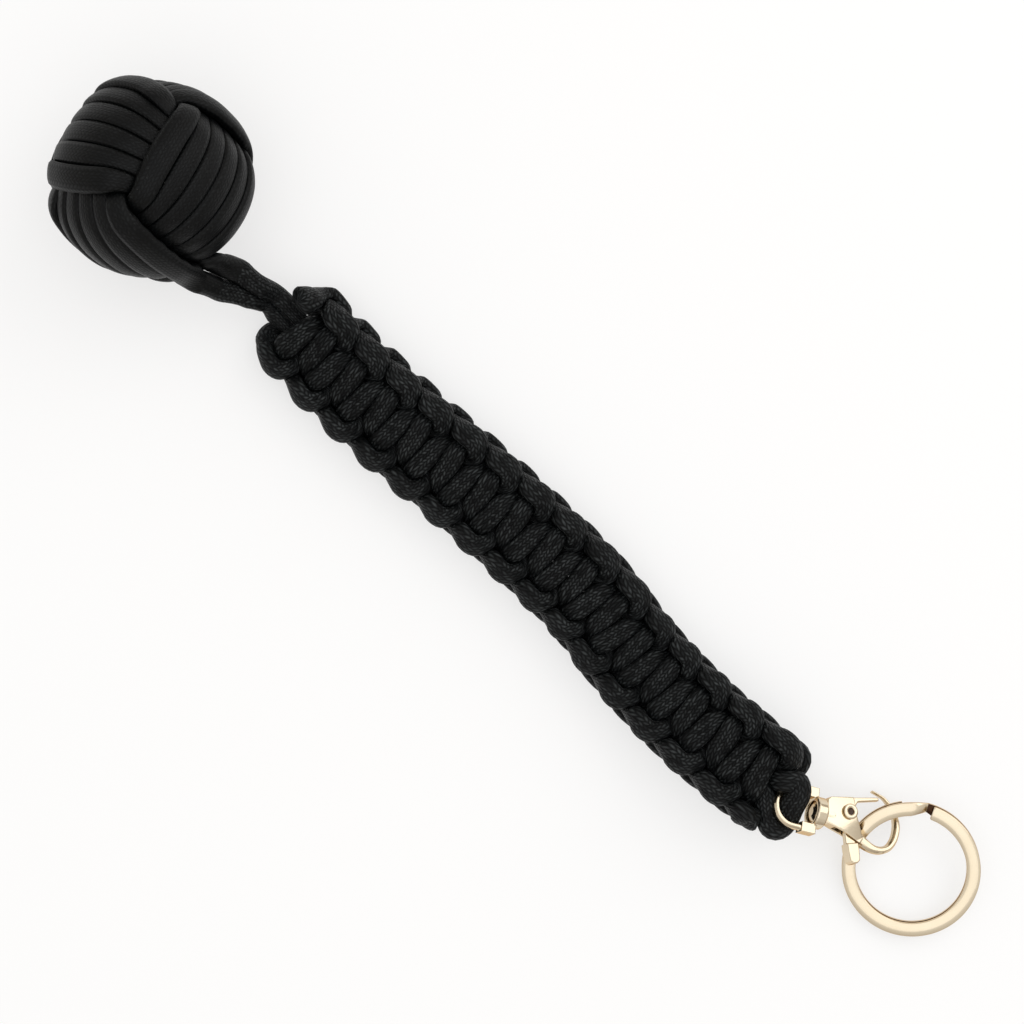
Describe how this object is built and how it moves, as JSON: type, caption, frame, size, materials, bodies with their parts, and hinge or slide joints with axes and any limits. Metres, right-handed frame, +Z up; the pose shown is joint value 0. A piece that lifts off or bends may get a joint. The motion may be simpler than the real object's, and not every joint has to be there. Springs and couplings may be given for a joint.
{
  "type": "paracord keychain",
  "caption": "Black paracord keychain: a round monkey's fist knot on a flat woven strap, with a pale gold swivel lever clasp and a split ring.",
  "frame": {"origin": "bottom centre of the whole keychain's box, on the table that it lies on", "axes": "+X runs along the strap from the knotted ball to the split ring, +Y lies across the strap, +Z is up off the table"},
  "size_m": [0.2566, 0.0454, 0.0426],
  "materials": {
    "cord": "braided nylon, matt with a soft sheen",
    "gold": "polished pale gold plate",
    "steel": "plain steel ball",
    "spring": "bright spring wire"
  },
  "bodies": {
    "strap": {"weave_cord": "cord", "core_cord_left": "cord", "core_cord_right": "cord", "core_loop": "cord", "neck_cord_lower": "cord", "neck_cord_upper": "cord"},
    "fist": {"fist_winding": "cord", "steel_core_ball": "steel"},
    "bail": {"clasp_bail": "gold"},
    "hook": {"swivel_stud": "gold", "hook_body": "gold", "lever_rivet": "gold", "lever_spring": "spring"},
    "lever": {"gate_lever": "gold"},
    "ring": {"split_ring": "gold"}
  },
  "joints": [
    {"name": "fist_swing", "type": "hinge", "parent": "strap", "child": "fist", "pos_m": [-0.07539, -0.00414, 0.00949], "axis": [0, 1, 0], "range_deg": [-60, 60], "deforming": ["neck_cord_lower", "neck_cord_upper"]},
    {"name": "bail_tilt", "type": "hinge", "parent": "strap", "child": "bail", "pos_m": [0.08425, -0.00064, 0.01128], "axis": [-0.5441, 0.7596, -0.3563], "range_deg": [-25, 20], "deforming": ["core_loop"]},
    {"name": "swivel_spin", "type": "hinge", "parent": "bail", "child": "hook", "pos_m": [0.0896, 0.00227, 0.0093], "axis": [0.8358, 0.4538, -0.309], "continuous": true},
    {"name": "lever_open", "type": "hinge", "parent": "hook", "child": "lever", "pos_m": [0.09414, 0.00631, 0.00679], "axis": [0.0731, 0.4659, 0.8818], "range_deg": [-7, 0], "stiffness_Nm_per_rad": 0.01, "springref_deg": 14.32, "deforming": ["lever_spring"]},
    {"name": "ring_swing", "type": "hinge", "parent": "hook", "child": "ring", "pos_m": [0.10681, 0.00823, 0.00472], "axis": [0, -0.1822, 0.9833], "range_deg": [-10, 35]}
  ]
}
